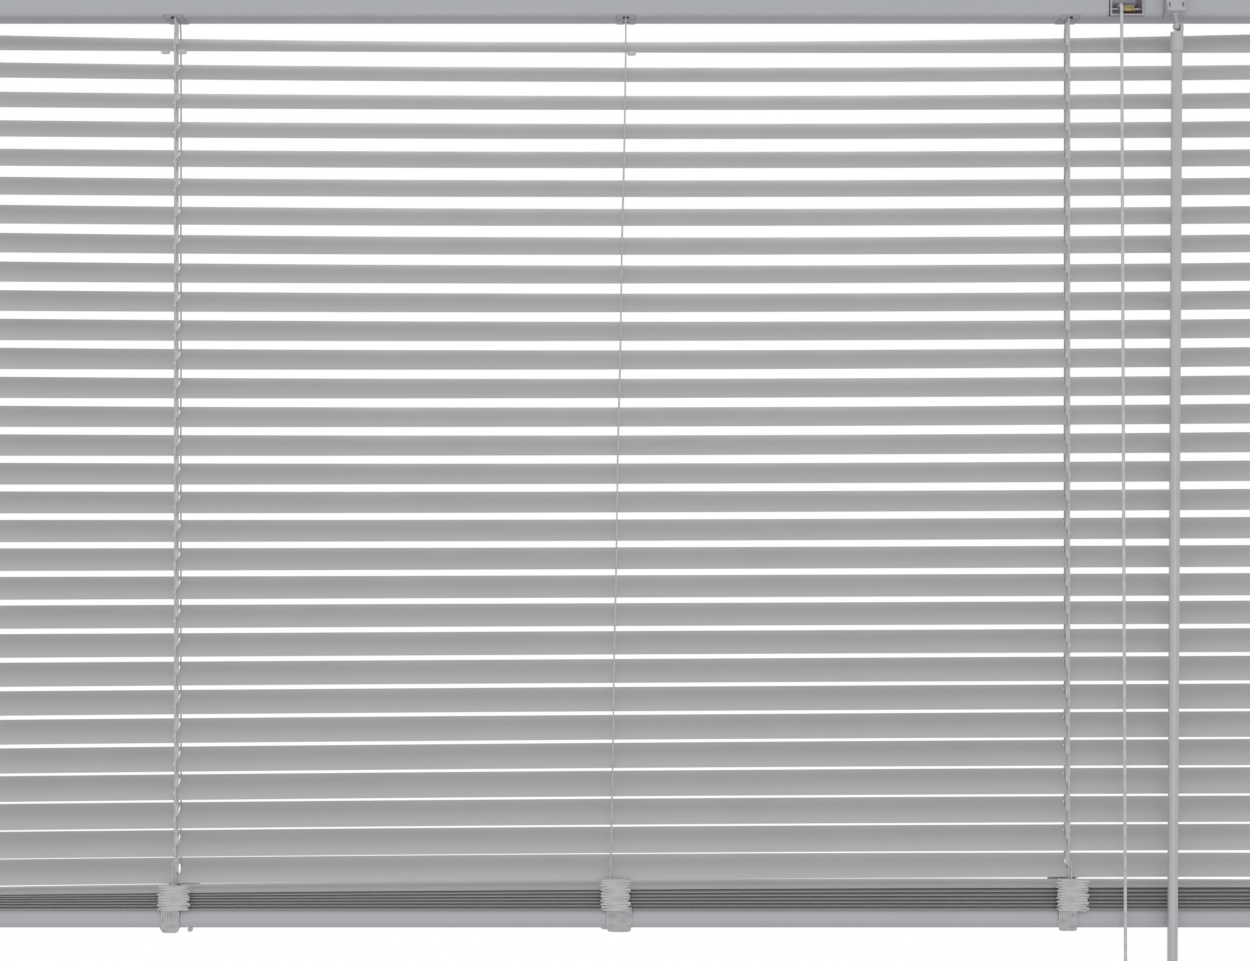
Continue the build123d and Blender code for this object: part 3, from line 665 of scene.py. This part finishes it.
# Ends of the ladder strings: side by side over the rail's front and round the buttons, and one knotted end
ends = []
for (x, deep, radius), front, count in zip(BUTTONS, (-338.8, -2.2, 334.4), (11, 15, 11)):
    for step in range(count):
        here = (step - (count - 1) / 2) * END_SPACING
        under = RAIL_BOTTOM - deep * MM
        ends.append(cord_tube("string_end", [
            ((front + here) * MM, -14.2 * MM, RAIL_TOP + MM),
            ((front + here + 0.2) * MM, -13.5 * MM, RAIL_TOP - 4 * MM),
            ((front + here) * MM, -12.85 * MM, RAIL_TOP - 9 * MM),
            ((front + here - 0.2) * MM, -12.3 * MM, RAIL_TOP - 13 * MM),
            ((front * 0.7 + x * 0.3 + here * 0.96) * MM, -9.6 * MM, RAIL_BOTTOM - MM),
            ((front * 0.5 + x * 0.5 + here * 0.85) * MM, -6.8 * MM, under + MM),
            ((x + here * 0.4) * MM, -2.4 * MM, under - 0.3 * MM),
        ], END_RADIUS, sides=1, steps=4))
KNOT_X = -325.2
KNOT = (
    (1.5, -7.0, -1.3), (0.4, -6.2, 0.0), (-1.4, -6.8, -0.9), (-0.6, -7.9, -2.3), (1.0, -7.4, -2.2),
    (1.2, -6.3, -0.6), (-0.5, -6.4, -0.2), (-1.3, -7.5, -1.8),
)
ends.append(cord_tube(
    "string_knot", [((x + KNOT_X) * MM, y * MM, RAIL_BOTTOM + z * MM) for x, y, z in KNOT],
    0.8 * MM, sides=2, steps=4,
))
put_on(join(ends, "ladder_string_ends"), "bottom_rail", ladder_braid, "grey_cord", angle=60)

# Lift cords: through the slats and along the headrail, with a length that follows the rail down
lifts = []
for x, y_end in ((-LADDER_X + 0.1 * MM, 2.5 * MM), (LADDER_X, 0.0)):
    lifts.append(cord_tube(
        "lift", [
            (x, 0, RAIL_TOP - 6 * MM), (x + 0.15 * MM, 0, -480 * MM), (x - 0.15 * MM, 0, -250 * MM),
            (x, 0, -34 * MM), (x, 0, LIFT_RUN), (x + 12 * MM, 0, LIFT_RUN), (LIFT_END_X, y_end, LIFT_RUN),
        ], CORD_RADIUS, sides=2, steps=6,
    ))
# The lift cords take the pull cord's colour painted lighter, as painted light against the slats' shade
put_on(join(lifts, "lift_cord_pair"), "headrail", lift_cord_braid_lightened_for_shade, "grey_cord", "lift_cords", angle=60)
spare = []
for x in (-LADDER_X, LADDER_X):
    spare.append(cord_tube(
        "spare",
        [(x, 0, RAIL_TOP - 7 * MM), (x, 0, RAIL_TOP + 75 * MM), (x, 0, RAIL_TOP + LOWERING + 4 * MM)],
        SPARE_RADIUS, sides=1, steps=6,
    ))
# The paid-out length takes the same colour, painted lighter against shade
put_on(join(spare, "lift_cord_paid_out"), "bottom_rail", lift_cord_braid_lightened_for_shade, "grey_cord", angle=60)

# Pull cord: over the lock's roller and straight down to its tassel

PULL_ROUTE = [
    (374.0, -4.0, -17.6), (374.0, -10.5, -17.4), (374.0, -15.0, -17.6), (374.0, -15.4, -22.0),
    (374.03, -15.45, -28.0), (375.7, -20.0, -757.0),
]
pull_points = [tuple(c * MM for c in point) for point in PULL_ROUTE]
line = route_curve("pull_line", pull_points)
line.data.splines[0].resolution_u = 16
line_mesh = bpy.data.meshes.new_from_object(line)
bpy.data.objects.remove(line)
bpy.data.meshes.remove(line_mesh)
pull = cord_tube("pull_cord_braid", pull_points, CORD_RADIUS, sides=3, steps=16)
put_on(pull, "headrail", cord_braid, "grey_cord", "pull_cord", angle=60)
pull_top = Vector((374.0, -15.3, -17.6)) * MM
pull_end = Vector((375.7, -20.0, -757.0)) * MM
pull_way = (pull_end - pull_top).normalized()
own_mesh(pull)

# Tassel: a turned bell with a rolled rim and a hollow, with the pull cord's last 20 mm inside
TASSEL_CORD = 20
tassel_top = pull_end - pull_way * TASSEL_CORD * MM
tassel = turned("tassel_bell", 28, [(r * MM, z * MM) for r, z in (
    (1.4, 0), (2.2, 0.1), (2.9, -0.6), (3.1, -1.6), (2.9, -2.6), (3.2, -5), (3.9, -12), (4.7, -21),
    (5.4, -30), (5.9, -38), (6.0, -40.5), (5.7, -41.8), (5.0, -42), (4.3, -41.4), (3.9, -38), (3.7, -17),
    (1.5, -16),
)])
place_mesh(tassel, Matrix.Translation(tassel_top) @ pull_way.to_track_quat("-Z", "Y").to_matrix().to_4x4())
put_on(tassel, "tassel", grey_moulding, "grey_plastic", "tassel")

# Wand: a six-sided rod with softened corners, and its hooked cap
BALL = Vector((413.5, -21.058, -35.971)) * MM
WAND_UP = Vector((0.0048, 0, 1)).normalized()
wand_place = Matrix.Translation(BALL) @ WAND_UP.to_track_quat("Z", "Y").to_matrix().to_4x4()
# A hexagon's corners lie further out than its flats
corner = 1 / math.cos(math.radians(30)) * MM
ROD_RINGS = ((3.4, -719), (3.45, -700), (3.55, -400), (3.65, -150), (3.7, -30), (3.7, -10.9))
rod = turned("rod", 6, [(r * corner, z * MM) for r, z in ROD_RINGS])
start_edit(rod)
pick(rod, "EDGE", lambda place: all(abs(place.z - z * MM) > 0.5 * MM for r, z in ROD_RINGS))
bpy.ops.mesh.bevel(offset=0.45 * MM, segments=2, clamp_overlap=False)
end_edit()
tip = turned("tip", 24, [(r * MM, z * MM) for r, z in (
    (2.0, -719.0), (3.4, -718.3), (4.1, -716.5), (4.2, -714), (4.2, -708), (3.9, -706.5), (4.2, -705.5),
    (4.2, -705), (3.5, -704.4),
)])
wand = join([rod, tip], "wand_rod")
place_mesh(wand, wand_place @ Matrix.Rotation(math.radians(90), 4, "Z"))
put_on(wand, "wand", wand_moulding, "wand_plastic", "wand", angle=25)

cap = turned("wand_cap_sleeve", 32, [(r * MM, z * MM) for r, z in (
    (3.9, -18.7), (4.6, -18.7), (4.75, -18.3), (4.85, -17), (4.75, -8), (4.6, -4.6), (4.85, -3.2),
    (4.85, 0.6), (4.5, 1.4), (3.5, 1.5), (3.3, 0.9), (3.35, -1.2), (2.6, -3.2), (0.6, -3.4),
)])
notch = block((-2.9, 0, -0.6), (9, 14, 7.4))
start_edit(notch)
pick(notch, "EDGE", lambda place: place.x > 0 and abs(place.y) < MM)
bpy.ops.mesh.bevel(offset=1.2 * MM, segments=3)
end_edit()
cut_away(cap, [notch])
cap_turn = Vector((0, 0, 1)).rotation_difference(WAND_UP)
place_mesh(cap, Matrix.Translation(BALL) @ cap_turn.to_matrix().to_4x4())
put_on(cap, "wand_cap", grey_moulding, "grey_plastic", "wand_cap")

# Tilter stem: turned in one piece, its ball seen in the cap's open side
LEAN = math.radians(20)
STEM_UP = Vector((0, math.sin(LEAN), math.cos(LEAN)))
BALL_RADIUS = 3.0
arc = [math.radians(degrees) for degrees in range(10, 150, 10)]
bead = [(BALL_RADIUS * math.sin(a), -BALL_RADIUS * math.cos(a)) for a in arc]
stem = turned("tilter_stem", 24, [(r * MM, z * MM) for r, z in bead + [
    (1.6, 2.7), (1.6, 9.4), (2.3, 10.2), (2.5, 10.8), (1.6, 11.4), (1.6, 22.0), (3.0, 22.0), (3.1, 22.2),
    (2.2, 23.4), (3.1, 24.6), (2.2, 25.8), (3.1, 27.0), (2.2, 28.2), (3.1, 29.4), (2.2, 30.6), (3.1, 31.8),
    (2.8, 32.7),
]])
place_mesh(stem, Matrix.Translation(BALL) @ STEM_UP.to_track_quat("Z", "Y").to_matrix().to_4x4())
put_on(stem, "tilter_worm", milky_moulding, "zinc_steel", "tilter_worm", angle=40)

# Lock roller: a grooved brass barrel on a plain axle, beside the cord
roller = turned("lock_roller_brass", 32, [(r * MM, x * MM) for r, x in (
    (2.5, -3.4), (2.9, -3.1), (2.9, -0.7), (2.7, -0.4), (2.7, 0.4), (2.9, 0.7),
    (2.9, 3.4), (2.6, 3.7), (2.6, 4.1), (2.9, 4.4), (2.9, 5.7), (2.5, 6.0),
)])
axle = turned("lock_roller_axle", 20, [(r * MM, x * MM) for r, x in (
    (0.85, -12.2), (1.0, -12.0), (1.0, 12.0), (0.85, 12.2),
)])
ROLLER = Vector((378.6, -10.0, -20.1)) * MM
roller_place = Matrix.Translation(ROLLER) @ Matrix.Rotation(math.radians(90), 4, "Y")
place_mesh(roller, roller_place)
place_mesh(axle, roller_place)
put_on(roller, "lock_roller", turned_brass, "brass", "lock_roller")
put_on(axle, "lock_roller", zinc_plate, "zinc_steel")

# Ladder buttons: domed plugs under the rail, and the lump of a knotted string beside the middle one
buttons = []
for x, deep, radius in (*BUTTONS, (-12.8, 2.7, 4.0)):
    button = turned("button", 28, [(r * radius * MM, z * MM) for r, z in (
        (0.25, -deep), (0.62, -deep * 0.92), (0.85, -deep * 0.67), (0.96, -deep * 0.33), (1.0, -0.2),
        (0.98, -0.02), (0.42, -0.02), (0.42, 3.6), (0.38, 4.0),
    )])
    place_mesh(button, Matrix.Translation((x * MM, 0, RAIL_BOTTOM)))
    buttons.append(button)
put_on(join(buttons, "ladder_button_plugs"), "bottom_rail", grey_moulding, "grey_plastic", "ladder_buttons")

# Slat clips: flat tabs with round corners on the top slat's front edge
CLIP_PLACES = (-343.2 * MM, -330.8 * MM, 7.2 * MM)
clips = []
for x in CLIP_PLACES:
    clip = block((0, 0, 0), (6.6, 1.5, 3.4))
    start_edit(clip)
    pick(clip, "EDGE", lambda place: abs(place.y) < 0.1 * MM)
    bpy.ops.mesh.bevel(offset=1.3 * MM, segments=4)
    bpy.ops.mesh.select_all(action="SELECT")
    bpy.ops.mesh.bevel(offset=0.25 * MM, segments=1)
    end_edit()
    angle = REST_TILT + math.radians(along(*SAGS[1][1], x))
    drop = SLAT_WIDTH / 2 * math.sin(angle) + SLAT_CROWN * math.cos(angle)
    edge = -SLAT_WIDTH / 2 * math.cos(angle) + SLAT_CROWN * math.sin(angle)
    height = FIRST_SLAT - drop - 0.5 * MM + along(*SAGS[1][0], x) * MM
    place_mesh(clip, Matrix.Translation((x, edge + 0.2 * MM, height)))
    clips.append(clip)
put_on(join(clips, "slat_clip_lugs"), "slat_01", grey_moulding, "grey_plastic", "slat_clips")

# Drum cradles: a floor plate with two saddles, and a mouth with rounded ends that comes through the headrail
mouth = block((0, 0, -24.3), (14.4, 22.6, 5.8))
start_edit(mouth)
pick(mouth, "EDGE", lambda place: place.z < -26 * MM and abs(place.y) > 11 * MM)
bpy.ops.mesh.bevel(offset=5.5 * MM, segments=6)
pick(mouth, "EDGE", lambda place: abs(place.x) > 7 * MM and place.z < -22 * MM)
bpy.ops.mesh.bevel(offset=0.5 * MM, segments=2)
end_edit()
plate = block((0, 0, -24.85), (20, 15, 1.5))
saddles = join([block((x, 0, -18.65), (2, 15, 10.9)) for x in (-6.25, 6.25)], "saddles")
cut_away(mouth, [block((0, 0, -22.1), (16, 17, 4))])
for piece in (mouth, plate):
    cut_away(piece, [block((0, y, -25), (4.6, 3.4, 8)) for y in (-8.1, 0, 8.1)])
journal = turned("journal", 24, [(4.05 * MM, -9 * MM), (4.05 * MM, 9 * MM)])
place_mesh(journal, Matrix.Translation((0, 0, ROD_HEIGHT)) @ Matrix.Rotation(math.radians(90), 4, "Y"))
cut_away(saddles, [journal, block((0, 0, -22.4), (16, 9, 3.4))])
cradle = join([mouth, plate, saddles], "cradle_pattern")
CRADLE_PLACES = (-LADDER_X, 3 * MM, LADDER_X)
cradles = []
for x in CRADLE_PLACES:
    cradles.append(place_mesh(copy_piece(cradle, "cradle"), Matrix.Translation((x, 0, 0))))
bpy.data.objects.remove(cradle)
put_on(join(cradles, "drum_cradle_mouldings"), "headrail", cradle_moulding, "grey_plastic", "drum_cradles")

# CAD pieces that stay as they are and take a finish
# The headrail and bottom rail take the enamel that is painted darker because their fronts are brightly lit
for name, material in (
    ("headrail", rail_enamel_darkened_for_light), ("bottom_rail", rail_enamel_darkened_for_light), ("headrail_end_caps", grey_moulding),
    ("bottom_rail_end_caps", grey_moulding), ("ladder_drums", grey_moulding),
    ("tilter_gear", grey_moulding), ("tilter_housing", milky_moulding), ("mounting_brackets", zinc_plate),
    ("tilt_rod", zinc_plate), ("cord_lock", zinc_plate),
):
    nodes[name].data.materials.clear()
    nodes[name].data.materials.append(material)

# Floor, light and camera
bpy.ops.object.select_all(action="DESELECT")
bpy.ops.mesh.primitive_plane_add(size=1, location=(0, 0, FLOOR_HEIGHT))
floor = bpy.context.active_object
floor.name = "studio_floor"
floor.scale = (2.4, 1.3, 1)
bpy.ops.object.transform_apply(location=True, rotation=True, scale=True)
floor_paint, _, floor_shader = finish_named("pale_studio_floor", 0.0, 0.8)
floor_shader.inputs["Base Color"].default_value = linear("#DEDEDC")
floor.data.materials.append(floor_paint)

world = bpy.data.worlds.new("white_studio")
bpy.context.scene.world = world
world.use_nodes = True
sky = world.node_tree
ray = add(sky, "ShaderNodeLightPath")
seen = add(
    sky, "ShaderNodeMath",
    {0: ray.outputs["Is Camera Ray"], 1: ray.outputs["Is Glossy Ray"]},
    operation="MAXIMUM",
)
shown = add(
    sky, "ShaderNodeMath",
    {0: seen.outputs["Value"], 1: ray.outputs["Is Transmission Ray"]},
    operation="MAXIMUM",
)
level = add(sky, "ShaderNodeMapRange", {"Value": shown.outputs["Value"], "To Min": 0.85, "To Max": 1.0})
ground = sky.nodes["Background"]
ground.inputs["Color"].default_value = (1, 1, 1, 1)
sky.links.new(level.outputs["Result"], ground.inputs["Strength"])

# A weak softbox by the camera, and one high behind that reaches the slats' upper halves; both aim at the
# blind's middle
AIM = Vector((0, 0, -0.36))
for name, power, width, depth, place in (
    ("front_softbox", 15, 2.4, 1.2, (-0.1, -2.4, -0.8)),
    ("back_softbox", 42, 3.0, 1.6, (0.0, 2.6, 2.6)),
):
    lamp = bpy.data.lights.new(name, "AREA")
    lamp.shape = "RECTANGLE"
    lamp.size, lamp.size_y = width, depth
    lamp.energy = power
    softbox = bpy.data.objects.new(name, lamp)
    softbox.location = place
    softbox.rotation_euler = (AIM - softbox.location).to_track_quat("-Z", "Y").to_euler()
    bpy.context.scene.collection.objects.link(softbox)

camera_data = bpy.data.cameras.new("photo_camera")
camera_data.lens = 49.7
camera_data.sensor_width = 36
camera = bpy.data.objects.new("photo_camera", camera_data)
camera.location = (0.0023, -1.307, -0.3742)
camera.rotation_euler = (math.radians(90), 0, 0)
bpy.context.scene.collection.objects.link(camera)
bpy.context.scene.camera = camera
bpy.context.scene.view_settings.view_transform = "Standard"
